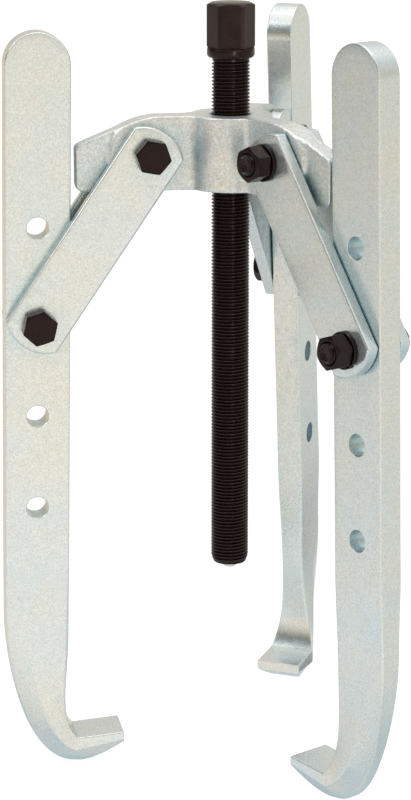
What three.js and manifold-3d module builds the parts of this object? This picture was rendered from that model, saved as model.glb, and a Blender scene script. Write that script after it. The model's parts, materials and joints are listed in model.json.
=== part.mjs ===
// Three-jaw gear puller: a forged crosshead with a threaded forcing spindle, and three hooked legs.
// Each leg hangs from one arm of the crosshead on a pair of links, held by two bolts.
// Millimetres, +Z up. The origin is at the centre of the flat top of the spindle's hex head.
// Heights below are measured up from the crosshead's flat underside, and the whole is lowered at the end.
// Each jaw is built in its own frame: +X outward along its arm, +Y across the arm, +Z up.
import * as THREE from 'three';
import { mergeVertices } from 'three/addons/utils/BufferGeometryUtils.js';
import Module from 'manifold-3d';

const wasm = await Module();
wasm.setup();

const point = (x, y) => new THREE.Vector2(x, y);

// Clearances
const GAP = 0.25; // between two faces that rest on each other
const HOLE_CLEARANCE = 0.3; // radial, around every bolt and around the spindle
const OVERRUN = 1; // how far a cutting shape runs past what it cuts, and a joined one into its neighbour

// Crosshead
const HEAD_HEIGHT = 42.4;
const HUB_RADIUS = 24;
const HUB_FILLET = 6;
const ARM_THICKNESS = 16;
const ARM_FLAT_END = 41; // radius where the flat top of an arm starts to fall
const ARM_EASE = 10; // how far beyond that the flat's line meets the tangent of the slope
const ARM_SLOPE_START = point(60, 38.4);
const ARM_SLOPE_END = point(86.5, 27.8);
const NOSE_TOP_ROUND = 1.5; // fall of the rounded top corner of the nose before it turns down
const NOSE_RADIUS = 90;
const NOSE_THICKNESS = 11.5;
const NOSE_TOP_CORNER = 24; // height where the rounded top corner of the nose meets its end face
const NOSE_BOTTOM_CORNER = 4.5; // radius of the bottom corner of the nose
const BOSS_RADIUS = 21.5; // thick round boss about the upper bolt, with a 45 degree wall down to the nose

// Links and pivots
const PIVOT_RADIUS = 48;
const PIVOT_HEIGHT = 21.4;
const LINK_LENGTH = 116; // between the two bolt centres
const LINK_WIDTH = 34;
const LINK_THICKNESS = 8;
const LINK_END_RADIUS = 24; // each end is a shallow arc, with a corner at both sides
const LINK_END_REACH = 15; // from a bolt centre to the end of the link

// Legs, in a frame with its origin at the bolt hole in use
const LEG_WIDTH = 37.5;
const LEG_THICKNESS = 16;
const LEG_TOP = 165.5;
const HOLE_SPACING = 55;
const SPARE_HOLES = [1, -1, -2]; // places of the other holes, in steps up from the hole in use
const BAR_END = -130; // the flat bar goes over into the forged hook here
const HOOK_WAIST = 6.8; // half thickness where the hook is thinnest
const FOOT_HALF_WIDTH = 14;
const FLARE_POWER = 1.75; // how sharply the hook widens towards the foot
const KEEL_HALF_WIDTH = 4; // half width of the narrow back of the hook
const KEEL_TIP_HALF_WIDTH = 13;
const FOOT_ROOT = point(-23.5, -252.4);
const FOOT_TIP = point(-50.8, -250);
const FOOT_UNDER_TIP = point(-51.3, -256.3);
const HEEL = point(-23.5, -270.4); // lowest point of the leg
const CREASE_ROOT = point(-22.3, -260.8);
const CREASE_TIP = point(-51.1, -254.9);

// Control points of the hook's curves, each from the end of its straight run to the foot
const INNER_BEND = [point(-LEG_WIDTH / 2, -191.6), point(-18.15, -223.3), point(-12.4, -239.9), FOOT_ROOT];
const CREASE_BEND = [point(6, -184), point(4, -214), point(-6, -257), CREASE_ROOT];
const BACK_BEND = [point(LEG_WIDTH / 2, -175), point(LEG_WIDTH / 2, -213.3), point(4.7, HEEL.y), HEEL];
const UNDERFOOT_BEND = [HEEL, point(-32, HEEL.y), FOOT_UNDER_TIP];
const TAPER_STEPS = 4; // sections along the straight run, the bend and the foot
const BEND_STEPS = 12;
const FOOT_STEPS = 5;

// M12 bolts, nuts and spring lock washers
const BOLT_RADIUS = 6;
const WRENCH_SIZE = 18;
const BOLT_HEAD = 7.5;
const NUT_HEIGHT = 9.7;
const WASHER_RADIUS = 10.5;
const WASHER_THICKNESS = 2.5;
const WASHER_SPLIT = THREE.MathUtils.degToRad(10);
const BOLT_PROUD = 2.4; // length of bolt showing beyond its nut

// Forcing spindle, M22 x 2
const SPINDLE_RADIUS = 11;
const NECK_RADIUS = 10.6;
const COLLAR_RADIUS = 13.6;
const SPINDLE_HEX = 24;
const HEX_TOP = 105.2;
const HEX_BOTTOM = 79.8;
const COLLAR_BOTTOM = 74.2;
const COLLAR_CHAMFER = 1.5;
const NECK_LENGTH = 2;
const NECK_RUNOUT = 0.5; // height of the step from the thread to the neck
const STUB_RADIUS = 6; // buried stub that joins the collar to the hex
const SPINDLE_END = -225.3;
const SPINDLE_END_RADIUS = 9.5;
const SPINDLE_END_TAPER = 5;
const BALL_RADIUS = 6;
const BALL_HEIGHT = -223.5;
const SOCKET_CONE = 1.5; // depth of the drill point above the ball
const SPINDLE_TURN = THREE.MathUtils.degToRad(20);

// Rest pose of each jaw: azimuth of the arm, fall of the links below horizontal, outward lean of the leg,
// and the turns of the upper and lower bolt heads and nuts, all in degrees.
const JAWS = [
  { name: 'a', azimuth: 210, linkDrop: 55.7, legLean: 1.0, upperTurn: 11, lowerTurn: 43 },
  { name: 'b', azimuth: 330, linkDrop: 54.6, legLean: 1.7, upperTurn: 26, lowerTurn: 19 },
  { name: 'c', azimuth: 90, linkDrop: 51.9, legLean: 5.8, upperTurn: 52, lowerTurn: 18 },
];

const ROUND_STEPS = 24; // segments around a bolt or hole
const ARC_STEPS = 7; // segments per curve of an outline; an arc gets twice as many

const zinc = new THREE.MeshStandardMaterial({ color: 0xd3d3cb, roughness: 0.42, metalness: 0.75 });
const blackened = new THREE.MeshStandardMaterial({ color: 0x2a2426, roughness: 0.45, metalness: 0.6 });
const brightSteel = new THREE.MeshStandardMaterial({ color: 0xc9c9c9, roughness: 0.2, metalness: 1 });

// Solids

function toSolid(geometry) {
  const bare = geometry.clone();
  bare.deleteAttribute('normal');
  bare.deleteAttribute('uv');
  const merged = mergeVertices(bare, 1e-4);
  const vertProperties = new Float32Array(merged.attributes.position.array);
  const triVerts = new Uint32Array(merged.index.array);
  return new wasm.Manifold(new wasm.Mesh({ numProp: 3, vertProperties, triVerts }));
}

function toGeometry(solid) {
  const mesh = solid.getMesh();
  const geometry = new THREE.BufferGeometry();
  geometry.setAttribute('position', new THREE.BufferAttribute(mesh.vertProperties, 3));
  geometry.setIndex(new THREE.BufferAttribute(mesh.triVerts, 1));
  geometry.computeVertexNormals();
  return geometry;
}

// A shape drawn in the jaw's X-Z plane, given a thickness in Y and centred on the plane.
function plate(shape, thickness, steps = ARC_STEPS) {
  const options = { depth: thickness, bevelEnabled: false, curveSegments: steps };
  const geometry = new THREE.ExtrudeGeometry(shape, options);
  return geometry.translate(0, 0, -thickness / 2).rotateX(Math.PI / 2);
}

// A round bar along Y, between two values of Y.
function crossBar(radius, from, to, steps = ROUND_STEPS) {
  const geometry = new THREE.CylinderGeometry(radius, radius, to - from, steps);
  return geometry.translate(0, (from + to) / 2, 0);
}

function hexagon(acrossFlats) {
  const shape = new THREE.Shape();
  const corner = acrossFlats / Math.sqrt(3);
  for (let i = 0; i < 6; i += 1) {
    const angle = (i * Math.PI) / 3;
    const x = corner * Math.cos(angle);
    const y = corner * Math.sin(angle);
    if (i === 0) shape.moveTo(x, y);
    else shape.lineTo(x, y);
  }
  return shape.closePath();
}

function circleHole(x, y, radius) {
  return new THREE.Path().absarc(x, y, radius, 0, 2 * Math.PI, true);
}

// Crosshead

// Plan outline of the hub and its three arms, with a fillet in each corner.
function crossheadPlan() {
  const half = ARM_THICKNESS / 2;
  const filletY = half + HUB_FILLET;
  const filletX = Math.sqrt((HUB_RADIUS + HUB_FILLET) ** 2 - filletY ** 2);
  const lean = Math.atan2(filletY, filletX);
  const reach = Math.hypot(filletX, filletY);
  const shape = new THREE.Shape();
  for (const jaw of JAWS) {
    const turn = THREE.MathUtils.degToRad(jaw.azimuth);
    const along = new THREE.Vector2(Math.cos(turn), Math.sin(turn));
    const across = new THREE.Vector2(-along.y, along.x);
    const near = [turn - lean, turn + lean].map(
      (angle) => new THREE.Vector2(Math.cos(angle), Math.sin(angle)).multiplyScalar(reach),
    );
    const blankEnd = along.clone().multiplyScalar(NOSE_RADIUS + OVERRUN);
    const end = (side) => blankEnd.clone().addScaledVector(across, side * half);
    const quarter = Math.PI / 2;
    shape.absarc(near[0].x, near[0].y, HUB_FILLET, turn - lean + Math.PI, turn + quarter, true);
    shape.lineTo(end(-1).x, end(-1).y);
    shape.lineTo(end(1).x, end(1).y);
    shape.absarc(near[1].x, near[1].y, HUB_FILLET, turn - quarter, turn + lean - Math.PI, true);
    const nextArm = turn + (2 * Math.PI) / JAWS.length;
    shape.absarc(0, 0, HUB_RADIUS, turn + lean, nextArm - lean, false);
  }
  shape.holes.push(circleHole(0, 0, SPINDLE_RADIUS + HOLE_CLEARANCE));
  return shape;
}

// Everything above and beyond the side outline of an arm: what is cut away from the full-height blank.
function armTrim() {
  const outside = NOSE_RADIUS + 2 * OVERRUN;
  const above = HEAD_HEIGHT + OVERRUN;
  const arcCentre = point(NOSE_RADIUS - NOSE_BOTTOM_CORNER, NOSE_BOTTOM_CORNER);
  const shape = new THREE.Shape();
  shape.moveTo(ARM_FLAT_END, above);
  shape.lineTo(ARM_FLAT_END, HEAD_HEIGHT);
  shape.quadraticCurveTo(ARM_FLAT_END + ARM_EASE, HEAD_HEIGHT, ARM_SLOPE_START.x, ARM_SLOPE_START.y);
  shape.lineTo(ARM_SLOPE_END.x, ARM_SLOPE_END.y);
  shape.quadraticCurveTo(NOSE_RADIUS, ARM_SLOPE_END.y - NOSE_TOP_ROUND, NOSE_RADIUS, NOSE_TOP_CORNER);
  shape.lineTo(NOSE_RADIUS, NOSE_BOTTOM_CORNER);
  shape.absarc(arcCentre.x, arcCentre.y, NOSE_BOTTOM_CORNER, 0, -Math.PI / 2, true);
  shape.lineTo(arcCentre.x, -OVERRUN);
  shape.lineTo(outside, -OVERRUN);
  shape.lineTo(outside, above);
  return plate(shape, ARM_THICKNESS + 2 * OVERRUN);
}

// What is cut from one side of an arm to leave the thinner nose beyond the round boss.
function noseCut(side) {
  const inner = NOSE_THICKNESS / 2;
  const depth = ARM_THICKNESS / 2 - inner + OVERRUN;
  const middle = side * (inner + depth / 2);
  const slab = new THREE.BoxGeometry(NOSE_RADIUS, depth, 2 * HEAD_HEIGHT);
  slab.translate(PIVOT_RADIUS + NOSE_RADIUS / 2, middle, PIVOT_HEIGHT);
  const coneLength = depth + 2 * OVERRUN;
  const wide = BOSS_RADIUS + ARM_THICKNESS / 2 - inner + OVERRUN;
  const narrow = wide - coneLength;
  const ends = side > 0 ? [narrow, wide] : [wide, narrow];
  const boss = new THREE.CylinderGeometry(...ends, coneLength, 3 * ROUND_STEPS);
  boss.translate(PIVOT_RADIUS, middle, PIVOT_HEIGHT);
  return toSolid(slab).subtract(toSolid(boss));
}

function crosshead() {
  const options = { depth: HEAD_HEIGHT, bevelEnabled: false, curveSegments: ARC_STEPS };
  let solid = toSolid(new THREE.ExtrudeGeometry(crossheadPlan(), options));
  const pivotHole = crossBar(BOLT_RADIUS + HOLE_CLEARANCE, -ARM_THICKNESS, ARM_THICKNESS);
  pivotHole.translate(PIVOT_RADIUS, 0, PIVOT_HEIGHT);
  const cuts = [toSolid(armTrim()), noseCut(1), noseCut(-1), toSolid(pivotHole)];
  for (const jaw of JAWS) {
    for (const cut of cuts) solid = solid.subtract(cut.rotate([0, 0, jaw.azimuth]));
  }
  return toGeometry(solid);
}

// Links

function link() {
  const inset = LINK_END_RADIUS - LINK_END_REACH;
  const spread = Math.asin(LINK_WIDTH / 2 / LINK_END_RADIUS);
  const shape = new THREE.Shape();
  shape.absarc(inset, 0, LINK_END_RADIUS, Math.PI - spread, Math.PI + spread, false);
  shape.absarc(LINK_LENGTH - inset, 0, LINK_END_RADIUS, -spread, spread, false);
  for (const x of [0, LINK_LENGTH]) {
    shape.holes.push(circleHole(x, 0, BOLT_RADIUS + HOLE_CLEARANCE));
  }
  return plate(shape, LINK_THICKNESS, ROUND_STEPS / 2);
}

// Legs

function legBar() {
  const half = LEG_WIDTH / 2;
  const shape = new THREE.Shape();
  shape.moveTo(-half, BAR_END - OVERRUN);
  shape.lineTo(half, BAR_END - OVERRUN);
  shape.absarc(0, LEG_TOP - half, half, 0, Math.PI, false);
  for (const place of [0, ...SPARE_HOLES]) {
    const radius = BOLT_RADIUS + HOLE_CLEARANCE;
    shape.holes.push(circleHole(0, place * HOLE_SPACING, radius));
  }
  return plate(shape, LEG_THICKNESS, ROUND_STEPS / 2);
}

// A section across the hook: inner edge, crease and back, each with its half thickness.
function hookSection(inner, crease, back, innerHalf, creaseHalf, backHalf) {
  return [
    new THREE.Vector3(inner.x, innerHalf, inner.y),
    new THREE.Vector3(crease.x, creaseHalf, crease.y),
    new THREE.Vector3(back.x, backHalf, back.y),
    new THREE.Vector3(back.x, -backHalf, back.y),
    new THREE.Vector3(crease.x, -creaseHalf, crease.y),
    new THREE.Vector3(inner.x, -innerHalf, inner.y),
  ];
}

function hookSections() {
  const { lerp, smoothstep } = THREE.MathUtils;
  const guides = [INNER_BEND, CREASE_BEND, BACK_BEND];
  const bends = guides.map((points) => new THREE.CubicBezierCurve(...points));
  const underfoot = new THREE.QuadraticBezierCurve(...UNDERFOOT_BEND);
  const sections = [];
  for (let i = 0; i < TAPER_STEPS; i += 1) {
    const s = i / TAPER_STEPS;
    const thin = lerp(LEG_THICKNESS / 2, HOOK_WAIST, smoothstep(s, 0, 1));
    const at = guides.map(([start]) => point(start.x, lerp(BAR_END, start.y, s)));
    sections.push(hookSection(...at, thin, thin, thin));
  }
  for (let i = 0; i <= BEND_STEPS; i += 1) {
    const s = i / BEND_STEPS;
    const wide = lerp(HOOK_WAIST, FOOT_HALF_WIDTH, s ** FLARE_POWER);
    const keel = lerp(HOOK_WAIST, KEEL_HALF_WIDTH, Math.min(1, 2 * s));
    const at = bends.map((curve) => curve.getPoint(s));
    sections.push(hookSection(...at, wide, wide, keel));
  }
  for (let i = 1; i <= FOOT_STEPS; i += 1) {
    const s = i / FOOT_STEPS;
    const inner = FOOT_ROOT.clone().lerp(FOOT_TIP, s);
    const crease = CREASE_ROOT.clone().lerp(CREASE_TIP, s);
    const keel = lerp(KEEL_HALF_WIDTH, KEEL_TIP_HALF_WIDTH, s);
    sections.push(hookSection(inner, crease, underfoot.getPoint(s), FOOT_HALF_WIDTH, FOOT_HALF_WIDTH, keel));
  }
  return sections;
}

// Skins a row of closed sections that all have the same number of points, and closes both ends.
function loft(sections) {
  const count = sections[0].length;
  const positions = sections.flat().flatMap((corner) => corner.toArray());
  const faces = [];
  for (let i = 0; i + 1 < sections.length; i += 1) {
    for (let j = 0; j < count; j += 1) {
      const a = i * count + j;
      const b = i * count + ((j + 1) % count);
      faces.push(a, b, a + count, b, b + count, a + count);
    }
  }
  const last = (sections.length - 1) * count;
  for (let j = 1; j + 1 < count; j += 1) {
    faces.push(0, j + 1, j, last, last + j, last + j + 1);
  }
  const geometry = new THREE.BufferGeometry();
  geometry.setAttribute('position', new THREE.Float32BufferAttribute(positions, 3));
  geometry.setIndex(faces);
  return geometry;
}

function leg() {
  return toGeometry(toSolid(legBar()).add(toSolid(loft(hookSections()))));
}

// Fasteners, along Y: the head on the +Y side, the washer and nut on the -Y side

const LINK_FACE = LEG_THICKNESS / 2 + GAP + LINK_THICKNESS;
const WASHER_FACE = LINK_FACE + GAP + WASHER_THICKNESS;
const NUT_FACE = WASHER_FACE + GAP + NUT_HEIGHT;

function bolt() {
  const head = plate(hexagon(WRENCH_SIZE), BOLT_HEAD).translate(0, LINK_FACE + GAP + BOLT_HEAD / 2, 0);
  const shank = crossBar(BOLT_RADIUS, -NUT_FACE - BOLT_PROUD, LINK_FACE + GAP + OVERRUN);
  return toGeometry(toSolid(head).add(toSolid(shank)));
}

function nut() {
  const shape = hexagon(WRENCH_SIZE);
  shape.holes.push(circleHole(0, 0, BOLT_RADIUS + HOLE_CLEARANCE));
  return plate(shape, NUT_HEIGHT, ROUND_STEPS / 2).translate(0, NUT_HEIGHT / 2 - NUT_FACE, 0);
}

function lockWasher() {
  const shape = new THREE.Shape();
  shape.absarc(0, 0, WASHER_RADIUS, WASHER_SPLIT, 2 * Math.PI, false);
  shape.absarc(0, 0, BOLT_RADIUS + HOLE_CLEARANCE, 2 * Math.PI, WASHER_SPLIT, true);
  const ring = plate(shape, WASHER_THICKNESS, ROUND_STEPS / 2);
  return ring.translate(0, WASHER_THICKNESS / 2 - WASHER_FACE, 0);
}

// Spindle

function spindle() {
  const socket = BALL_RADIUS + HOLE_CLEARANCE;
  const stubTop = HEX_BOTTOM + OVERRUN;
  const profile = [
    [0, BALL_HEIGHT + BALL_RADIUS + SOCKET_CONE],
    [socket, BALL_HEIGHT + BALL_RADIUS],
    [socket, SPINDLE_END],
    [SPINDLE_END_RADIUS, SPINDLE_END],
    [SPINDLE_RADIUS, SPINDLE_END + SPINDLE_END_TAPER],
    [SPINDLE_RADIUS, COLLAR_BOTTOM - NECK_LENGTH],
    [NECK_RADIUS, COLLAR_BOTTOM - NECK_LENGTH + NECK_RUNOUT],
    [NECK_RADIUS, COLLAR_BOTTOM],
    [COLLAR_RADIUS - COLLAR_CHAMFER, COLLAR_BOTTOM],
    [COLLAR_RADIUS, COLLAR_BOTTOM + COLLAR_CHAMFER],
    [COLLAR_RADIUS, HEX_BOTTOM],
    [STUB_RADIUS, HEX_BOTTOM],
    [STUB_RADIUS, stubTop],
    [0, stubTop],
  ];
  const body = new THREE.LatheGeometry(
    profile.map(([radius, height]) => new THREE.Vector2(radius, height)),
    2 * ROUND_STEPS,
  );
  body.rotateX(Math.PI / 2);
  const head = new THREE.ExtrudeGeometry(hexagon(SPINDLE_HEX), {
    depth: HEX_TOP - HEX_BOTTOM,
    bevelEnabled: false,
  });
  head.translate(0, 0, HEX_BOTTOM);
  return toGeometry(toSolid(body).add(toSolid(head)));
}

function ball() {
  return new THREE.SphereGeometry(BALL_RADIUS, ROUND_STEPS, ROUND_STEPS / 2);
}

// Assembly

function named(name, geometry, material) {
  const mesh = new THREE.Mesh(geometry, material);
  mesh.name = name;
  return mesh;
}

// One bolt with its nut and lock washer, about the Y axis of its own group.
function fastener(place, jaw, turn) {
  const group = new THREE.Group();
  group.add(
    named(`${place}_bolt_${jaw.name}`, bolt(), blackened),
    named(`${place}_lock_washer_${jaw.name}`, lockWasher(), blackened),
    named(`${place}_nut_${jaw.name}`, nut(), blackened),
  );
  group.rotation.y = -THREE.MathUtils.degToRad(turn);
  return group;
}

function jawAssembly(jaw) {
  const arm = new THREE.Group();
  arm.rotation.z = THREE.MathUtils.degToRad(jaw.azimuth);

  const drop = THREE.MathUtils.degToRad(jaw.linkDrop);
  const upperPivot = new THREE.Group();
  upperPivot.position.set(PIVOT_RADIUS, 0, PIVOT_HEIGHT);
  upperPivot.add(fastener('upper', jaw, jaw.upperTurn));
  for (const [side, offset] of [['head_side', 1], ['nut_side', -1]]) {
    const bar = named(`link_${side}_${jaw.name}`, link(), zinc);
    bar.position.y = offset * (LINK_FACE - LINK_THICKNESS / 2);
    bar.rotation.y = drop;
    upperPivot.add(bar);
  }

  const lowerPivot = new THREE.Group();
  lowerPivot.position.set(
    PIVOT_RADIUS + LINK_LENGTH * Math.cos(drop),
    0,
    PIVOT_HEIGHT - LINK_LENGTH * Math.sin(drop),
  );
  lowerPivot.add(fastener('lower', jaw, jaw.lowerTurn));
  const hookedLeg = named(`leg_${jaw.name}`, leg(), zinc);
  hookedLeg.rotation.y = -THREE.MathUtils.degToRad(jaw.legLean);
  lowerPivot.add(hookedLeg);

  arm.add(upperPivot, lowerPivot);
  return arm;
}

const puller = new THREE.Group();
puller.position.z = -HEX_TOP;
puller.add(named('crosshead', crosshead(), zinc));
for (const jaw of JAWS) puller.add(jawAssembly(jaw));

const forcingSpindle = named('spindle', spindle(), blackened);
forcingSpindle.rotation.z = SPINDLE_TURN;
const pressureBall = named('pressure_ball', ball(), brightSteel);
pressureBall.position.z = BALL_HEIGHT;
puller.add(forcingSpindle, pressureBall);

export default puller;
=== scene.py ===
"""Looks of a three-jaw gear puller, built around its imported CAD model.

Every piece is modelled in millimetres in its own frame, then placed by the joints and mounts of the model:
+X outward along the arm of its jaw, +Y across the arm, +Z up. The bolts lie along Y, heads on the +Y side.
"""

import json
import math

import bmesh
import bpy
from mathutils import Matrix, Vector, noise
from mathutils.geometry import tessellate_polygon


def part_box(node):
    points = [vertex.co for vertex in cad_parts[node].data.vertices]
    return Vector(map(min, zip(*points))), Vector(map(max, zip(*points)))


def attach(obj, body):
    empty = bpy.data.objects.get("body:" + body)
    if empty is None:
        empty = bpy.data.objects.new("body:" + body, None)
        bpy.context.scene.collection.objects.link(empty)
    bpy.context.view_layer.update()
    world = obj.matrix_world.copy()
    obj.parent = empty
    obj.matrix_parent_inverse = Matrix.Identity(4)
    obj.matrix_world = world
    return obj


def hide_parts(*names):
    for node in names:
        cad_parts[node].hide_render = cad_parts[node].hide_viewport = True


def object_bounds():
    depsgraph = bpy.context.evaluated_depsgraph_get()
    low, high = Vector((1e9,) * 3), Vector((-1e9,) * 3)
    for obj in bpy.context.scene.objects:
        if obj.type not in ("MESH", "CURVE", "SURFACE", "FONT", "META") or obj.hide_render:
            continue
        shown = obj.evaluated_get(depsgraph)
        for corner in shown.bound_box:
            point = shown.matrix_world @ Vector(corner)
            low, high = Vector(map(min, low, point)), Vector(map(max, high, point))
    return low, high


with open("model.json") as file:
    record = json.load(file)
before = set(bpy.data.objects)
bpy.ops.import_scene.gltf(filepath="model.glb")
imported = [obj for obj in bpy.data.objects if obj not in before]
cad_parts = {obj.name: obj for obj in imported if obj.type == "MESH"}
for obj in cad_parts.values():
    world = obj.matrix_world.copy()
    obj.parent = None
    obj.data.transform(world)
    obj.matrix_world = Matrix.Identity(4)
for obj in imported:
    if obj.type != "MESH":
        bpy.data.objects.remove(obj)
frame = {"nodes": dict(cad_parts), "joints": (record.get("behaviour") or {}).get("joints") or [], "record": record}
cad_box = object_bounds()

MM = 0.001
JAWS = ("a", "b", "c")
JOINTS = {joint["name"]: joint for joint in frame["joints"]}
MOUNTS = {mount["name"]: mount for mount in frame["record"]["mounts"]}

# Crosshead, heights above its flat underside
HEAD_HEIGHT = 42.4
HUB_RADIUS = 24
HUB_FILLET = 6
BORE_RADIUS = 11.3
ARM_THICKNESS = 16
ARM_FLAT_END = 41
ARM_EASE = 10
ARM_SLOPE_START = (60, 38.4)
ARM_SLOPE_END = (86.5, 27.8)
NOSE_RADIUS = 90
NOSE_THICKNESS = 11.5
NOSE_TOP_CORNER = 24
NOSE_TOP_ROUND = 1.5
NOSE_BOTTOM_CORNER = 4.5
BOSS_RADIUS = 21.5
CUT_STEPS = 96
FORGING_VOXEL = 0.75
FORGING_SMOOTHING = 5
PARTING_START = 84  # radius beyond which the parting line shows
PARTING_WIDTH = 1.6
PARTING_HEIGHT = 0.22
BORE_SINK = 0.8  # how far the edges of the holes are broken
BOLT_HOLE_SINK = 0.6
FORGED_SWELL = ((0.12, 0.07), (0.45, 0.04))  # waves per millimetre, and how deep

# Links
LINK_WIDTH = 34
LINK_THICKNESS = 8
LINK_END_RADIUS = 24
LINK_END_REACH = 15
LINK_EDGE = 1.3
LINK_CORNER_STEPS = 5
LINK_END_STEPS = 32
ROLL_WIDTH = 6  # sheared bars are rolled down a little along their edges
ROLL_DEPTH = 0.16
ROLL_SHARES = (1, 0.72, 0.48)  # places across the roll, as shares of its width
EDGE_STEPS = 4
HOLE_EDGE_STEPS = 3
HOLE_STEPS = 64

# Legs, in a frame with its origin at the bolt hole in use
LEG_WIDTH = 37.5
LEG_THICKNESS = 16
LEG_EDGE = 0.9
LEG_TOP = 165.5
HOLE_HEIGHTS = (55, 0, -55, -110)
HOLE_RADIUS = 6.3
HOLE_EDGE = 0.5
LEG_TOP_STEPS = 72
BAR_END = -130
ROLL_START = 25  # how far above the hook the bar's edges are fully rolled down
HOOK_WAIST = 6.8
FOOT_HALF_WIDTH = 14
FLARE_POWER = 1.75
KEEL_HALF_WIDTH = 4
KEEL_TIP_HALF_WIDTH = 13
FOOT_ROOT = (-23.5, -252.4)
FOOT_TIP = (-50.8, -250)
FOOT_UNDER_TIP = (-51.3, -256.3)
HEEL = (-23.5, -270.4)
CREASE_ROOT = (-22.3, -260.8)
CREASE_TIP = (-51.1, -254.9)
INNER_BEND = ((-18.75, -191.6), (-18.15, -223.3), (-12.4, -239.9), FOOT_ROOT)
CREASE_BEND = ((6, -184), (4, -214), (-6, -257), CREASE_ROOT)
BACK_BEND = ((18.75, -175), (18.75, -213.3), (4.7, HEEL[1]), HEEL)
UNDERFOOT_BEND = (HEEL, (-32, HEEL[1]), FOOT_UNDER_TIP)
INNER_REACH = 2.2  # how far the rounding of each of the hook's edges reaches, at its waist, foot and tip
FOOT_REACH = 0.8
CREASE_REACH = 1.1
CREASE_TIP_REACH = 0.5
BACK_REACH = 1.6
BACK_TIP_REACH = 0.4
TIP_DOME = ((0.97, 0.99, 0.35), (0.92, 0.94, 0.5))  # end face: share of the height and width, and rise
TAPER_STEPS = 14
BEND_STEPS = 44
FOOT_STEPS = 16
CORNER_STEPS = 4  # points round each edge of the hook, and between one edge and the next
SIDE_STEPS = 3

# M12 bolts, nuts and spring lock washers
WRENCH_SIZE = 18
BOLT_HEAD = 7.5
BOLT_RADIUS = 6
BOLT_PITCH = 1.75
NUT_HEIGHT = 9.7
WASHER_RADIUS = 10.5
WASHER_THICKNESS = 2.5
BOLT_PROUD = 2.4
BOLT_CORE = 4.1
BOLT_CHAMFER = 1.9
BOLT_DISC = WRENCH_SIZE / 2 * 0.955  # radius inside the turned corners of a head or nut
BOLT_SEAT = WRENCH_SIZE / 2 * 0.98  # the same under a head
BOLT_DISH = ((1.2, 0), (2.4, 0.18))  # top of a head: distance in from the disc, and depth
BOLT_FACING = ((0.4, 0.45), (1.1, 0.12), (1.3, 0.3), (2.9, 0.02), (3.1, 0.2), (3.5, 0))  # radius and depth
NUT_SINK = 0.9
NUT_CLEARANCE = 0.1
WASHER_SPLIT = math.radians(9)
WASHER_SLANT = math.radians(14)
WASHER_TURN = math.radians(-70)  # place of the split from the nut's first corner
WASHER_SPRING = 0.12
WASHER_EDGE = 0.3
WASHER_STEPS = 72
GAP = 0.25
LINK_FACE = LEG_THICKNESS / 2 + GAP + LINK_THICKNESS
HEAD_FACE = LINK_FACE + GAP
WASHER_FACE = LINK_FACE + GAP + WASHER_THICKNESS
NUT_FACE = WASHER_FACE + GAP + NUT_HEIGHT

# Spindle, M22 x 2, heights above the crosshead's underside
SPINDLE_RADIUS = 11
SPINDLE_PITCH = 2
SPINDLE_HEX = 24
SPINDLE_SEAT = SPINDLE_HEX / 2 * 1.05  # radius inside the turned corners, below and above
SPINDLE_DISC = SPINDLE_HEX / 2 * 0.95
HEX_TOP = 105.2
HEX_BOTTOM = 79.8
COLLAR_RADIUS = 13.6
COLLAR_BOTTOM = 74.2
COLLAR_CHAMFER = 1.5
NECK_RADIUS = 10.6
NECK_LENGTH = 2
NECK_EASE = 1.2
SPINDLE_END = -225.3
SPINDLE_END_RADIUS = 9.5
SPINDLE_END_TAPER = 5
BALL_RADIUS = 6
BALL_HEIGHT = -223.5
BALL_FLAT = 0.12
BALL_RINGS = 48
BALL_STEPS = 64
SOCKET_CLEARANCE = 0.3

# Threads and hexagons
THREAD_DEPTH = 0.6134  # share of the pitch, for a metric thread
THREAD_PROFILE = (  # place along one pitch, and height as a share of the thread depth
    (0.00, 1.0), (0.05, 1.0), (0.09, 0.94), (0.38, 0.08), (0.44, 0.0),
    (0.56, 0.0), (0.62, 0.08), (0.91, 0.94), (0.95, 1.0),
)
HEX_CORNER_ROUND = 0.4
HEX_CHAMFER = math.radians(30)
CORNER_ARC = 4  # points round each corner of a hexagon, and between one corner and the next
FLAT_POINTS = 7
COLUMNS = 6 * (CORNER_ARC + FLAT_POINTS)


# ---------------------------------------------------------------- frames

def placed(origin, x_axis, z_axis):
    """Matrix from millimetres in a local frame to metres in the row frame."""
    x = Vector(x_axis).normalized()
    z = Vector(z_axis).normalized()
    y = z.cross(x)
    matrix = Matrix((x, y, z)).transposed().to_4x4()
    matrix.translation = Vector(origin)
    return matrix @ Matrix.Scale(MM, 4)


def corner_turn(node, matrix, plane, low=None):
    """Angle of the first corner of a hexagon in a CAD node, in a local frame's plane, in radians."""
    inverse = matrix.inverted()
    points = [inverse @ vertex.co for vertex in frame["nodes"][node].data.vertices]
    if low is not None:
        points = [p for p in points if low(p)]
    corner = max(points, key=lambda p: round(math.hypot(p[plane[0]], p[plane[1]]), 3))
    return math.atan2(corner[plane[1]], corner[plane[0]]) % math.radians(60)


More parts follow.
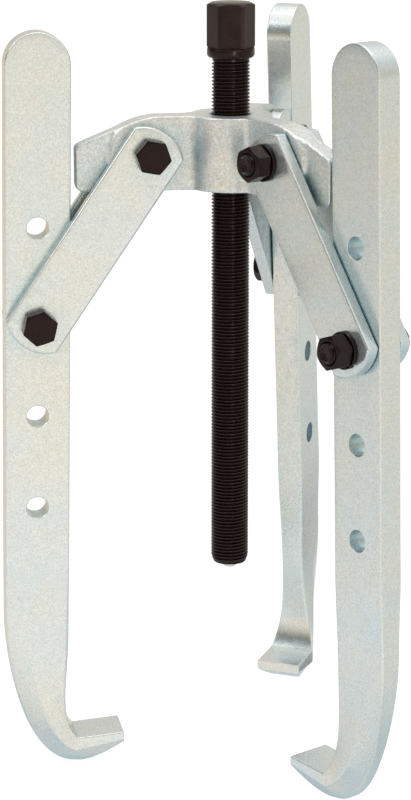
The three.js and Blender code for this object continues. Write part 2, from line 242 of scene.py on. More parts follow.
class Jaw:
    """The frames of one jaw: arm, link and leg, and the turns of its bolts."""

    def __init__(self, name):
        upper = Vector(JOINTS["link_swing_" + name]["pos_m"])
        lower = Vector(JOINTS["leg_tilt_" + name]["pos_m"])
        up = Vector((0, 0, 1))
        outward = Vector((upper.x, upper.y, 0)).normalized()
        across = up.cross(outward)
        link_way = (lower - upper).normalized()
        foot_normal = Vector(MOUNTS["hook_face_" + name]["axis"])
        foot_slope = math.atan2(FOOT_TIP[1] - FOOT_ROOT[1], FOOT_ROOT[0] - FOOT_TIP[0])
        lean = foot_slope - math.atan2(foot_normal.dot(outward), foot_normal.z)
        leg_up = up * math.cos(lean) - outward * math.sin(lean)
        self.name = name
        self.azimuth = math.atan2(outward.y, outward.x)
        self.pivots = {"upper": upper, "lower": lower}
        self.link_length = (lower - upper).length / MM
        self.link = placed(upper, link_way, link_way.cross(across))
        self.leg = placed(lower, across.cross(leg_up), leg_up)
        self.bolts = {place: placed(origin, outward, up) for place, origin in self.pivots.items()}


jaws = [Jaw(name) for name in JAWS]
hub_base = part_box("crosshead")[0].z
trunk = placed((0, 0, hub_base), (1, 0, 0), (0, 0, 1))
pivot_radius = math.hypot(*jaws[0].pivots["upper"].xy) / MM
pivot_height = (jaws[0].pivots["upper"].z - hub_base) / MM


# ---------------------------------------------------------------- meshes

def finish_mesh(name, bm, matrix, body, node, material, smooth_angle=32, weighted=True):
    """Turns a bmesh in local millimetres into a piece that stands for a CAD node."""
    bmesh.ops.remove_doubles(bm, verts=bm.verts, dist=1e-3)
    bmesh.ops.dissolve_degenerate(bm, edges=bm.edges, dist=1e-4)
    bmesh.ops.recalc_face_normals(bm, faces=bm.faces)
    mesh = bpy.data.meshes.new(name)
    bm.to_mesh(mesh)
    bm.free()
    return finish_piece(name, mesh, matrix, body, node, material, smooth_angle, weighted)


def finish_piece(name, mesh, matrix, body, node, material, smooth_angle, weighted):
    grain = mesh.attributes.new("grain", "FLOAT_VECTOR", "POINT")
    grain.data.foreach_set("vector", [c for vertex in mesh.vertices for c in vertex.co])
    mesh.transform(matrix)
    mesh.polygons.foreach_set("use_smooth", [True] * len(mesh.polygons))
    mesh.set_sharp_from_angle(angle=math.radians(smooth_angle))
    mesh.materials.append(material)
    obj = bpy.data.objects.new(name, mesh)
    bpy.context.scene.collection.objects.link(obj)
    if weighted:
        modifier = obj.modifiers.new("weighted_normals", "WEIGHTED_NORMAL")
        modifier.keep_sharp = True
    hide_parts(node)
    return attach(obj, body)


def skin(bm, rings, cap_start=True, cap_end=True, wrap=True):
    """Skins rings of points that all have the same count, and closes the ends with flat faces."""
    rows = [[bm.verts.new(p) for p in ring] for ring in rings]
    count = len(rows[0])
    for here, there in zip(rows, rows[1:]):
        for j in range(count if wrap else count - 1):
            k = (j + 1) % count
            bm.faces.new((here[j], here[k], there[k], there[j]))
    if cap_start:
        bm.faces.new(rows[0])
    if cap_end:
        bm.faces.new(rows[-1])
    return rows


def circle(radius, height, steps, axis="z", turn=0.0):
    """Ring of points about Z, or about Y with the height along Y."""
    ring = []
    for i in range(steps):
        angle = turn + 2 * math.pi * i / steps
        x = radius * math.cos(angle)
        y = radius * math.sin(angle)
        ring.append((x, y, height) if axis == "z" else (x, height, y))
    return ring


def round_corner(before, corner, after, reach, steps):
    """Points of a round corner between two straight edges; an arc where both edges are free for reach."""
    before, corner, after = Vector(before), Vector(corner), Vector(after)
    way_in = (corner - before).normalized()
    way_out = (after - corner).normalized()
    start = corner - way_in * reach
    end = corner + way_out * reach
    weight = math.cos(way_in.angle(way_out, 0) / 2)
    points = []
    for i in range(steps + 1):
        t = i / steps
        parts = ((1 - t) ** 2, 2 * t * (1 - t) * weight, t * t)
        points.append((start * parts[0] + corner * parts[1] + end * parts[2]) / sum(parts))
    return points


def lerp(a, b, t):
    return a + (b - a) * t


def bezier(points, t):
    """Point on a Bezier curve with any number of control points."""
    points = [Vector(p) for p in points]
    while len(points) > 1:
        points = [a.lerp(b, t) for a, b in zip(points, points[1:])]
    return points[0]


def smoothstep(t):
    return t * t * (3 - 2 * t)


# ---------------------------------------------------------------- threads and hexagons

def thread_height(phase):
    """Height of the thread at a place along its pitch, 0 at the root and 1 at the crest."""
    phase %= 1
    closed = THREAD_PROFILE + ((1.0, 1.0),)
    for (p0, h0), (p1, h1) in zip(closed, closed[1:]):
        if phase <= p1:
            return lerp(h0, h1, (phase - p0) / (p1 - p0))
    return 1.0


def thread(bm, crest, pitch, low, high, limit, turn, axis="z"):
    """Helical skin between two heights, no wider than limit at each height. Its end rings are returned."""
    depth = THREAD_DEPTH * pitch
    rows_per_pitch = len(THREAD_PROFILE)
    turns = int((high - low) / pitch) + 3
    grid = []
    for j in range(COLUMNS):
        angle = turn + 2 * math.pi * j / COLUMNS
        column = []
        for k in range(turns * rows_per_pitch):
            phase = THREAD_PROFILE[k % rows_per_pitch][0]
            z = low + pitch * (k // rows_per_pitch - 1.5 + phase + j / COLUMNS)
            z = min(max(z, low), high)
            phase = (z - low) / pitch + 1.5 - j / COLUMNS
            radius = min(crest - depth * (1 - thread_height(phase)), limit(z))
            x = radius * math.cos(angle)
            y = radius * math.sin(angle)
            column.append(bm.verts.new((x, y, z) if axis == "z" else (x, z, y)))
        grid.append(column)
    for j in range(COLUMNS):
        here = grid[j]
        last = j == COLUMNS - 1
        there = grid[0][rows_per_pitch:] if last else grid[j + 1]
        for k in range(min(len(here), len(there)) - 1):
            bm.faces.new((here[k], there[k], there[k + 1], here[k + 1]))
    return [column[0].co.copy() for column in grid], [column[-1].co.copy() for column in grid]


def hexagon_columns(across_flats, turn):
    """Angle and radius of each column of a hexagon with slightly rounded corners."""
    corner = across_flats / math.sqrt(3)
    columns = []
    for i in range(6):
        angles = [math.radians(60 * n) for n in (i - 1, i, i + 1)]
        corners = [Vector((corner * math.cos(angle), corner * math.sin(angle))) for angle in angles]
        arc = round_corner(*corners, HEX_CORNER_ROUND, CORNER_ARC - 1)
        following = corners[2] - (corners[2] - corners[1]).normalized() * HEX_CORNER_ROUND
        columns += arc
        columns += [arc[-1].lerp(following, n / (FLAT_POINTS + 1)) for n in range(1, FLAT_POINTS + 1)]
    return [(math.atan2(point.y, point.x) + turn, point.length) for point in columns]


def hexagon_rings(across_flats, low, high, turn, low_disc, high_disc, axis="z"):
    """Rings up a hexagonal prism whose corners are turned off by a shallow cone at each end."""
    columns = hexagon_columns(across_flats, turn)
    fall = math.tan(HEX_CHAMFER)

    def ring(radius_of, height_of):
        points = []
        for angle, radius in columns:
            r = radius_of(radius)
            x = r * math.cos(angle)
            y = r * math.sin(angle)
            z = height_of(radius)
            points.append((x, y, z) if axis == "z" else (x, z, y))
        return points

    return [
        ring(lambda r: min(r, low_disc), lambda r: low),
        ring(lambda r: r, lambda r: low + max(0, r - low_disc) * fall),
        ring(lambda r: r, lambda r: high - max(0, r - high_disc) * fall),
        ring(lambda r: min(r, high_disc), lambda r: high),
    ]


# ---------------------------------------------------------------- materials

def set_inputs(node, inputs):
    """Sets a shader node's inputs to values, or joins them to the outputs that feed them."""
    for key, value in inputs.items():
        if isinstance(value, bpy.types.NodeSocket):
            node.id_data.links.new(value, node.inputs[key])
        else:
            node.inputs[key].default_value = value


def add_node(tree, kind, inputs, **settings):
    node = tree.nodes.new(kind)
    for key, value in settings.items():
        setattr(node, key, value)
    set_inputs(node, inputs)
    return node


def add_ramp(tree, source, stops, interpolation):
    node = add_node(tree, "ShaderNodeValToRGB", {0: source})
    node.color_ramp.interpolation = interpolation
    elements = node.color_ramp.elements
    while len(elements) < len(stops):
        elements.new(0.5)
    for element, (place, colour) in zip(elements, stops):
        element.position = place
        element.color = (*colour, 1)
    return node.outputs["Color"]


class Nodes:
    """A material under construction, with the few kinds of pattern that the pieces need."""

    def __init__(self, name, slot):
        self.material = bpy.data.materials.new(name)
        self.material["slot"] = slot
        self.material.use_nodes = True
        self.tree = self.material.node_tree
        self.tree.nodes.clear()
        self.shader = self.add("ShaderNodeBsdfPrincipled", {})
        self.add("ShaderNodeOutputMaterial", {"Surface": self.shader.outputs[0]})
        self.grain = self.add("ShaderNodeAttribute", {}, attribute_name="grain").outputs["Vector"]

    def add(self, kind, inputs, **settings):
        return add_node(self.tree, kind, inputs, **settings)

    def noise(self, scale, detail=3.0, rough=0.55, stretch=(1, 1, 1)):
        """Noise fixed to the piece. scale is in features per millimetre."""
        mapping = self.add("ShaderNodeMapping", {"Vector": self.grain, "Scale": stretch})
        inputs = {"Vector": mapping.outputs[0], "Scale": scale, "Detail": detail, "Roughness": rough}
        return self.add("ShaderNodeTexNoise", inputs).outputs["Fac"]

    def ramp(self, source, stops):
        return add_ramp(self.tree, source, stops, "LINEAR")

    def mix(self, factor, first, second, mode="MIX"):
        colours = [(*value, 1) if isinstance(value, tuple) else value for value in (first, second)]
        inputs = {0: factor, 6: colours[0], 7: colours[1]}
        return self.add("ShaderNodeMix", inputs, data_type="RGBA", blend_type=mode).outputs[2]

    def multiply(self, first, second):
        return self.mix(1.0, first, second, mode="MULTIPLY")

    def span(self, source, low, high, source_low=0.3, source_high=0.7):
        """Spreads a noise, most of which lies between 0.3 and 0.7, over a range of values."""
        inputs = {"From Min": source_low, "From Max": source_high, "To Min": low, "To Max": high}
        return self.add("ShaderNodeMapRange", {"Value": source, **inputs}).outputs[0]

    def edges(self, radius):
        """1 along convex and concave edges, 0 on open faces."""
        bevel = self.add("ShaderNodeBevel", {"Radius": radius * MM}, samples=4)
        geometry = self.add("ShaderNodeNewGeometry", {})
        normals = {0: bevel.outputs[0], 1: geometry.outputs["Normal"]}
        dot = self.add("ShaderNodeVectorMath", normals, operation="DOT_PRODUCT")
        return self.span(dot.outputs["Value"], 0, 1, 0.995, 0.85)

    def openness(self, distance):
        """1 on an open face, less in a recess or close beside another piece. The materials paint shade with it."""
        return self.add("ShaderNodeAmbientOcclusion", {"Distance": distance * MM}, samples=4).outputs["AO"]

    def finish(self, shading, bumps):
        """Sets the shader's inputs. bumps holds (height, distance in millimetres) pairs, finest last."""
        set_inputs(self.shader, shading)
        normal = {}
        for height, distance in bumps:
            inputs = {"Height": height, "Strength": 1, "Distance": distance * MM, **normal}
            normal = {"Normal": self.add("ShaderNodeBump", inputs).outputs[0]}
        set_inputs(self.shader, normal)
        return self.material


# Painted shade for the zinc. The ramp gives, by how open a surface is, the colour that its own colour is
# multiplied by. Recesses and places close beside other pieces come out darker and bluer, standing in for light
# bounced between the zinc parts.
RECESS_PAINTED_SHADE = ((0.0, (0.46, 0.70, 0.81)), (0.40, (0.82, 0.95, 0.99)), (0.85, (1.0, 1.0, 1.0)))


def zinc_plate():
    """Bright zinc over rolled steel: pale satin grey with a fine grain and faint tints. Its edges are pale and
    dark brown, partly dirt and partly painted highlight and shade, and its recesses get painted shade.
    """
    n = Nodes("zinc_over_bar", "zinc_plate")
    clouds = n.noise(0.03, detail=3, stretch=(1.4, 1.4, 0.8))
    greys = ((0.34, (0.69, 0.75, 0.775)), (0.5, (0.72, 0.755, 0.755)), (0.66, (0.745, 0.755, 0.725)))
    patches = n.ramp(n.noise(0.11, detail=4), ((0.35, (0.985, 1.0, 1.0)), (0.65, (1.01, 0.995, 0.98))))
    speckle = n.span(n.noise(1.2, detail=4, rough=0.85), 0.70, 1.16)
    tinted = n.multiply(n.multiply(n.ramp(clouds, greys), patches), speckle)
    # Painted edge light. Along the edges the colour turns pale in places, which is a painted highlight, and dark
    # brown in others, which is partly dirt and partly painted shade. The noise below sets the share of dark brown.
    edge_dirt_and_shade = n.span(n.noise(0.25, detail=4), 0.35, 1.0)
    edge_highlight_dirt_and_shade = n.mix(edge_dirt_and_shade, (0.84, 0.83, 0.80), (0.34, 0.29, 0.25))
    edge_wear_and_painted_light = n.mix(n.span(n.edges(0.5), 0, 0.75, 0, 1), tinted, edge_highlight_dirt_and_shade)
    inputs = {
        # painted shade: darker and bluer in recesses and close beside other pieces
        "Base Color": n.multiply(edge_wear_and_painted_light, n.ramp(n.openness(13), RECESS_PAINTED_SHADE)),
        "Metallic": 0.80,
        "Roughness": n.span(n.noise(0.25, detail=4), 0.16, 0.28),
    }
    return n.finish(inputs, ((n.noise(0.10, detail=2), 0.05), (n.noise(1.1, detail=4, rough=0.75), 0.045)))


def forged_zinc():
    """The same plate over a forged skin, with its sandy texture and painted shade in its recesses."""
    n = Nodes("zinc_over_forging", "zinc_plate")
    greys = ((0.34, (0.74, 0.79, 0.805)), (0.5, (0.795, 0.805, 0.79)), (0.66, (0.82, 0.81, 0.755)))
    mottle = n.span(n.noise(0.28, detail=4, rough=0.65), 0.86, 1.06)
    speckle = n.span(n.noise(0.9, detail=4, rough=0.9), 0.55, 1.26)
    tinted = n.multiply(n.multiply(n.ramp(n.noise(0.04, detail=4), greys), mottle), speckle)
    inputs = {
        # painted shade: darker and bluer in recesses and close beside other pieces
        "Base Color": n.multiply(tinted, n.ramp(n.openness(15), RECESS_PAINTED_SHADE)),
        "Metallic": 0.80,
        "Roughness": n.span(n.noise(0.4, detail=4), 0.29, 0.44),
    }
    return n.finish(inputs, ((n.noise(0.12, detail=2), 0.12), (n.noise(0.9, detail=4, rough=0.75), 0.15)))


def black_oxide():
    """Oiled black-brown oxide. Its edges are paler, partly rubbed and partly a painted highlight. Painted shade in
    its recesses darkens its colour and dims its reflections.
    """
    n = Nodes("oiled_black_oxide", "black_oxide")
    body = n.ramp(n.noise(0.12, detail=4), ((0.35, (0.008, 0.0035, 0.0035)), (0.65, (0.014, 0.007, 0.007))))
    scratches = n.span(n.noise(0.9, detail=5, rough=0.8), 0.0, 0.25, 0.60, 0.75)
    scratched = n.mix(scratches, body, (0.05, 0.032, 0.030))
    # edges paler, partly wear and partly a painted highlight
    edge_wear_and_painted_light = n.mix(n.span(n.edges(0.35), 0, 0.8, 0, 1), scratched, (0.10, 0.068, 0.064))
    # Painted shade: colour darkened and reflections dimmed where the surface lies in a recess, such as the roots
    # of a thread.
    openness = n.openness(2.0)
    inputs = {
        "Base Color": n.multiply(edge_wear_and_painted_light, n.span(openness, 0.02, 1.0, 0.35, 0.9)),
        "Specular IOR Level": n.span(openness, 0.01, 0.24, 0.4, 0.92),
        "Specular Tint": (1.0, 0.76, 0.76, 1),
        "Metallic": 0.15,
        "Roughness": n.span(n.noise(0.5, detail=4), 0.15, 0.29),
    }
    return n.finish(inputs, ((n.noise(0.25, detail=3), 0.05), (n.noise(2.0, detail=2), 0.006)))


def bright_steel():
    """Ground and polished hardened steel."""
    n = Nodes("polished_steel", "bright_steel")
    inputs = {
        "Base Color": n.ramp(n.noise(0.5, detail=3), ((0.3, (0.66, 0.66, 0.67)), (0.7, (0.80, 0.80, 0.79)))),
        "Metallic": 1,
        "Roughness": n.span(n.noise(1.2, detail=4), 0.12, 0.22),
    }
    return n.finish(inputs, ((n.noise(2.5, detail=2), 0.004),))


ZINC = zinc_plate()
FORGED = forged_zinc()
BLACK = black_oxide()
STEEL = bright_steel()


# ---------------------------------------------------------------- links

def rounded_edge(half, edge, roll):
    """Offset inward from the outline and place across the thickness, from one face to the other.

    roll adds the shallow fall towards the edge that a sheared bar has, and is its share of ROLL_DEPTH."""
    rolled = []
    for share in ROLL_SHARES:
        offset = ROLL_WIDTH * share
        fall = ROLL_DEPTH * ((ROLL_WIDTH - offset) / (ROLL_WIDTH - edge)) ** 2
        rolled.append((lerp(edge, offset, roll), half - fall * roll))
    rim = half - ROLL_DEPTH * roll
    front = [(p.x, p.y) for p in round_corner((2 * edge, rim), (0, rim), (0, 0), edge, EDGE_STEPS)]
    front = rolled + front
    return front + [(offset, -place) for offset, place in reversed(front)]


def plate(bm, outline_at, holes, half, edge, hole_edge, open_from=None):
    """Flat plate in X-Z with rounded edges. outline_at gives the outline drawn in by an offset.

    open_from closes both faces with extra points, for an outline left open at its bottom; the edges aren't
    rolled down where it starts and ends."""
    rings = []
    for (offset, place), (plain_offset, plain_place) in zip(
            rounded_edge(half, edge, 1), rounded_edge(half, edge, 0)):
        ring = [(x, place, z) for x, z in outline_at(offset)]
        if open_from is not None:
            plain = outline_at(plain_offset)
            for i in (0, -1):
                ring[i] = (plain[i][0], plain_place, plain[i][1])
        rings.append(ring)
    skin(bm, rings, cap_start=False, cap_end=False, wrap=open_from is None)
    faces = [distinct(rings[0]), distinct(rings[-1])]
    if open_from is not None:
        for face, side in zip(faces, (1, -1)):
            face += [(x, side * half, z) for x, z in open_from]
    hole_profile = hole_edge_profile(half, hole_edge)
    hole_faces = ([], [])
    for cx, cz, radius in holes:
        tube = []
        for off, y in hole_profile:
            tube.append([(cx + x, y, cz + z) for x, _, z in circle(radius + off, 0, HOLE_STEPS, "y")])
        skin(bm, tube, cap_start=False, cap_end=False)
        hole_faces[0].append(tube[0])
        hole_faces[1].append(tube[-1])
    for face, inner in zip(faces, hole_faces):
        loops = [[Vector(p) for p in loop] for loop in [face, *inner]]
        corners = [bm.verts.new(p) for loop in loops for p in loop]
        for triangle in tessellate_polygon(loops):
            bm.faces.new([corners[i] for i in triangle])


def distinct(loop):
    """The loop without points that repeat the one before."""
    return [p for p, before in zip(loop, loop[-1:] + loop[:-1]) if math.dist(p, before) > 1e-5]


def hole_edge_profile(half, edge):
    """Offset outward from a hole and place across the thickness, from one face to the other."""
    corner = round_corner((2 * edge, half), (0, half), (0, 0), edge, HOLE_EDGE_STEPS)
    front = [(p.x, p.y) for p in corner]
    return front + [(offset, -place) for offset, place in reversed(front)]


def arc_outline(cx, cz, radius, start, end, steps):
    """Points along an arc, its angles in degrees."""
    angles = [math.radians(lerp(start, end, i / steps)) for i in range(steps + 1)]
    return [(cx + radius * math.cos(angle), cz + radius * math.sin(angle)) for angle in angles]


def link_outline(length, offset):
    """Straight sides, and ends that are shallow arcs with a small round where they meet the sides."""
    half = LINK_WIDTH / 2 - offset
    corner = max(LINK_EDGE - offset, 0)
    radius = LINK_END_RADIUS - offset
    inset = LINK_END_RADIUS - LINK_END_REACH
    spread = math.asin((half - corner) / (radius - corner))
    right = length - inset + (radius - corner) * math.cos(spread)
    left = inset - (radius - corner) * math.cos(spread)
    spread = math.degrees(spread)
    outline = arc_outline(right, corner - half, corner, -90, -spread, LINK_CORNER_STEPS)
    outline += arc_outline(length - inset, 0, radius, -spread, spread, LINK_END_STEPS)[1:]
    outline += arc_outline(right, half - corner, corner, spread, 90, LINK_CORNER_STEPS)[1:]
    outline += arc_outline(left, half - corner, corner, 90, 180 - spread, LINK_CORNER_STEPS)
    outline += arc_outline(inset, 0, radius, 180 - spread, 180 + spread, LINK_END_STEPS)[1:]
    outline += arc_outline(left, corner - half, corner, 180 + spread, 270, LINK_CORNER_STEPS)[1:]
    return outline


def link(name, jaw, side):
    bm = bmesh.new()
    holes = [(0, 0, HOLE_RADIUS), (jaw.link_length, 0, HOLE_RADIUS)]

    def outline_at(offset):
        return link_outline(jaw.link_length, offset)

    plate(bm, outline_at, holes, LINK_THICKNESS / 2, LINK_EDGE, HOLE_EDGE)
    offset = Matrix.Translation((0, side * (LINK_FACE - LINK_THICKNESS / 2), 0))
    bmesh.ops.transform(bm, matrix=offset, verts=bm.verts)
    return finish_mesh(name.replace("link_", "link_bar_"), bm, jaw.link, "link_pair_" + jaw.name, name, ZINC)


# ---------------------------------------------------------------- legs

def hook_ring(rails, halves, reaches):
    """Ring around the hook. rails are its inner edge, crease and back, each with a half width and a reach."""
    inner, crease, back = (Vector(rail) for rail in rails)
    first = (crease - inner).length
    whole = first + (back - crease).length
    outline = [(0, 0), (0, halves[0]), (first, halves[1]), (whole, halves[2]), (whole, 0)]
    side = []
    for i, reach in zip((1, 2, 3), reaches):
        side.append(round_corner(outline[i - 1], outline[i], outline[i + 1], reach, CORNER_STEPS))
    half = []
    for arc, following in zip(side, side[1:] + [None]):
        half += arc
        if following:
            half += [arc[-1].lerp(following[0], n / SIDE_STEPS) for n in range(1, SIDE_STEPS)]

    def place(along, width):
        if along <= first:
            spot = inner.lerp(crease, along / first)
        else:
            spot = crease.lerp(back, (along - first) / (whole - first))
        return (spot.x, width, spot.y)

    front = [place(p.x, p.y) for p in half]
    rear = [(x, -y, z) for x, y, z in reversed(front)]
    return front + rear


def hook_rings():
    """Rings down the end of the bar, round the bend and along the foot."""
    guides = (INNER_BEND, CREASE_BEND, BACK_BEND)
    rings = []
    for i in range(TAPER_STEPS):
        s = i / TAPER_STEPS
        thin = lerp(LEG_THICKNESS / 2, HOOK_WAIST, smoothstep(s))
        rails = [(guide[0][0], lerp(BAR_END, guide[0][1], s)) for guide in guides]
        reaches = (lerp(LEG_EDGE, INNER_REACH, s), CREASE_REACH, lerp(LEG_EDGE, BACK_REACH, s))
        rings.append(hook_ring(rails, (thin, thin, thin), reaches))
    for i in range(BEND_STEPS + 1):
        s = i / BEND_STEPS
        wide = lerp(HOOK_WAIST, FOOT_HALF_WIDTH, s ** FLARE_POWER)
        keel = lerp(HOOK_WAIST, KEEL_HALF_WIDTH, smoothstep(min(1, 1.6 * s)))
        rails = [bezier(guide, s) for guide in guides]
        reaches = (lerp(INNER_REACH, FOOT_REACH, smoothstep(s)), CREASE_REACH, BACK_REACH)
        rings.append(hook_ring(rails, (wide, wide, keel), reaches))
    for i in range(1, FOOT_STEPS + 1):
        s = i / FOOT_STEPS
        keel = lerp(KEEL_HALF_WIDTH, KEEL_TIP_HALF_WIDTH, s)
        rails = [Vector(FOOT_ROOT).lerp(Vector(FOOT_TIP), s), Vector(CREASE_ROOT).lerp(Vector(CREASE_TIP), s),
                 bezier(UNDERFOOT_BEND, s)]
        reaches = (FOOT_REACH, lerp(CREASE_REACH, CREASE_TIP_REACH, s), lerp(BACK_REACH, BACK_TIP_REACH, s))
        rings.append(hook_ring(rails, (FOOT_HALF_WIDTH, FOOT_HALF_WIDTH, keel), reaches))
    return rings


def tip_face(end):
    """Rings over the slightly domed end face of the hook, from its last ring inward."""
    middle = Vector((0, 0, 0))
    for p in end:
        middle += Vector(p) / len(end)
    rings = []
    for tall, wide, rise in TIP_DOME:
        rings.append([(x - rise, lerp(middle.y, y, wide), lerp(middle.z, z, tall)) for x, y, z in end])
    return rings


def leg(jaw):
    """The hook as one skin, closed above by the flat bar, whose faces start at the hook's first ring."""
    bm = bmesh.new()
    half_width = LEG_WIDTH / 2
    half = LEG_THICKNESS / 2
    rings = hook_rings()
    skin(bm, rings + tip_face(rings[-1]), cap_start=False)
    side_points = [(x, z) for x, y, z in rings[0] if abs(y - half) < 1e-4]

    def outline_at(offset):
        radius = half_width - offset
        arc = arc_outline(0, LEG_TOP - half_width, radius, 0, 180, LEG_TOP_STEPS)
        below = (BAR_END, BAR_END + ROLL_START)
        return [(radius, z) for z in below] + arc + [(-radius, z) for z in reversed(below)]

    inner_points = [p for p in side_points if abs(p[0]) < half_width - LEG_EDGE - 1e-4]
    holes = [(0, height, HOLE_RADIUS) for height in HOLE_HEIGHTS]
    plate(bm, outline_at, holes, half, LEG_EDGE, HOLE_EDGE, open_from=inner_points)
    name = "leg_" + jaw.name
    return finish_mesh("hooked_" + name, bm, jaw.leg, name, name, ZINC, 28)


# ---------------------------------------------------------------- crosshead

def closed_prism(points, low, high):
    """Object with a flat outline in X-Y raised between two heights, in the crosshead's millimetres."""
    bm = bmesh.new()
    skin(bm, [[(x, y, low) for x, y in points], [(x, y, high) for x, y in points]])
    return cutter(bm)


def cutter(bm, matrix=None):
    """Short-lived object for the crosshead's cuts, which are made in millimetres."""
    if matrix is not None:
        bmesh.ops.transform(bm, matrix=matrix, verts=bm.verts)
    bmesh.ops.recalc_face_normals(bm, faces=bm.faces)
    mesh = bpy.data.meshes.new("cutter")
    bm.to_mesh(mesh)
    bm.free()
    obj = bpy.data.objects.new("cutter", mesh)
    bpy.context.scene.collection.objects.link(obj)
    return obj


def arc_points(cx, cy, radius, start, end, steps):
    """Points along an arc, its angles in radians."""
    angles = [lerp(start, end, i / steps) for i in range(steps + 1)]
    return [(cx + radius * math.cos(angle), cy + radius * math.sin(angle)) for angle in angles]


def crosshead_plan():
    """Outline from above: three arms that run into a round hub through fillets."""
    half = ARM_THICKNESS / 2
    fillet_y = half + HUB_FILLET
    fillet_x = math.sqrt((HUB_RADIUS + HUB_FILLET) ** 2 - fillet_y ** 2)
    lean = math.atan2(fillet_y, fillet_x)
    reach = math.hypot(fillet_x, fillet_y)
    quarter = math.pi / 2
    points = []
    azimuths = sorted(jaw.azimuth % (2 * math.pi) for jaw in jaws)
    for turn in azimuths:
        along = Vector((math.cos(turn), math.sin(turn)))
        across = Vector((-along.y, along.x))
        near = [(reach * math.cos(turn + s * lean), reach * math.sin(turn + s * lean)) for s in (-1, 1)]
        points += arc_points(*near[0], HUB_FILLET, turn - lean + math.pi, turn + quarter, 16)
        points += [tuple(along * (NOSE_RADIUS + 1) + across * s * half) for s in (-1, 1)]
        points += arc_points(*near[1], HUB_FILLET, turn - quarter, turn + lean - math.pi, 16)
        step = 2 * math.pi / len(jaws)
        points += arc_points(0, 0, HUB_RADIUS, turn + lean, turn + step - lean, 24)[1:-1]
    return points


def arm_trim(turn):
    """Cuts the arm's top down along its slope, and its end to the nose."""
    above = HEAD_HEIGHT + 2
    corner = NOSE_RADIUS - NOSE_BOTTOM_CORNER
    ease = ((ARM_FLAT_END, HEAD_HEIGHT), (ARM_FLAT_END + ARM_EASE, HEAD_HEIGHT), ARM_SLOPE_START)
    drop = (ARM_SLOPE_END, (NOSE_RADIUS, ARM_SLOPE_END[1] - NOSE_TOP_ROUND), (NOSE_RADIUS, NOSE_TOP_CORNER))
    top = [bezier(ease, i / 12) for i in range(13)]
    fall = [bezier(drop, i / 8) for i in range(9)]
    under = arc_points(corner, NOSE_BOTTOM_CORNER, NOSE_BOTTOM_CORNER, 0, -math.pi / 2, 10)
    foot = [Vector(p) for p in under]
    ends = [Vector((corner, -2)), Vector((NOSE_RADIUS + 3, -2)), Vector((NOSE_RADIUS + 3, above))]
    outline = [Vector((ARM_FLAT_END, above))] + top + fall + foot + ends
    bm = bmesh.new()
    side = ARM_THICKNESS / 2 + 1
    skin(bm, [[(p.x, y, p.y) for p in outline] for y in (-side, side)])
    return cutter(bm, Matrix.Rotation(turn, 4, "Z"))


def nose_cut(turn, side):
    """Cuts one side of the arm back to the nose, all round the boss."""
    inner = NOSE_THICKNESS / 2
    outer = ARM_THICKNESS / 2 + 1
    bm = bmesh.new()
    rings = []
    for y, grow in ((inner, ARM_THICKNESS / 2 - inner), (outer, -1)):
        radius = BOSS_RADIUS + grow
        arc = arc_points(pivot_radius, pivot_height, radius, math.pi / 2, -math.pi / 2, CUT_STEPS)
        box = [(pivot_radius, -radius), (NOSE_RADIUS * 1.5, -radius * 2), (NOSE_RADIUS * 1.5, radius * 4),
               (pivot_radius, radius * 4)]
        rings.append([(x, side * y, z) for x, z in arc + box])
    skin(bm, rings)
    return cutter(bm, Matrix.Rotation(turn, 4, "Z"))


def round_hole(matrix, radius, low, high, axis, sink):
    """Cuts a hole along an axis, with a cone of depth sink at each end."""
    mouth = radius + sink + 1
    profile = ((mouth, low - 1), (radius, low + sink), (radius, high - sink), (mouth, high + 1))
    bm = bmesh.new()
    skin(bm, [circle(r, height, CUT_STEPS, axis) for r, height in profile])
    return cutter(bm, matrix)


def crosshead():
    """One forging, cut to shape and then remeshed and softened so that every edge is blunt."""
    body = closed_prism(crosshead_plan(), 0, HEAD_HEIGHT)
    cuts = [round_hole(None, BORE_RADIUS, 0, HEAD_HEIGHT, "z", BORE_SINK)]
    half = ARM_THICKNESS / 2
    for jaw in jaws:
        turn = Matrix.Rotation(jaw.azimuth, 4, "Z")
        seat = turn @ Matrix.Translation((pivot_radius, 0, pivot_height))
        cuts += [arm_trim(jaw.azimuth), nose_cut(jaw.azimuth, 1), nose_cut(jaw.azimuth, -1)]
        cuts.append(round_hole(seat, HOLE_RADIUS, -half, half, "y", BOLT_HOLE_SINK))
    for cut in cuts:
        modifier = body.modifiers.new("cut", "BOOLEAN")
        modifier.operation = "DIFFERENCE"
        modifier.solver = "EXACT"
        modifier.object = cut
    remesh = body.modifiers.new("forge", "REMESH")
    remesh.mode = "VOXEL"
    remesh.voxel_size = FORGING_VOXEL
    smooth = body.modifiers.new("soften", "SMOOTH")
    smooth.factor = 0.5
    smooth.iterations = FORGING_SMOOTHING
    bpy.context.view_layer.update()
    evaluated = body.evaluated_get(bpy.context.evaluated_depsgraph_get())
    mesh = bpy.data.meshes.new_from_object(evaluated)
    for obj in [body, *cuts]:
        bpy.data.objects.remove(obj)
    forge_surface(mesh)
    return finish_piece("crosshead_forging", mesh, trunk, "crosshead", "crosshead", FORGED, 180, False)


def forge_surface(mesh):
    """Slight unevenness of a forging, and the raised parting line down the end of each nose."""
    mesh.materials.clear()
    arms = [Vector((math.cos(jaw.azimuth), math.sin(jaw.azimuth))) for jaw in jaws]
    normals = [vertex.normal.copy() for vertex in mesh.vertices]
    for vertex, normal in zip(mesh.vertices, normals):
        flat = vertex.co.xy
        if flat.length < BORE_RADIUS + 2:
            continue
        move = -sum(depth * abs(noise.noise(vertex.co * waves)) for waves, depth in FORGED_SWELL)
        for along in arms:
            across = abs(flat.x * along.y - flat.y * along.x)
            if flat.dot(along) > PARTING_START and across < PARTING_WIDTH:
                move = PARTING_HEIGHT * (1 - across / PARTING_WIDTH)
        vertex.co += normal * move
    mesh.update()


# ---------------------------------------------------------------- fasteners

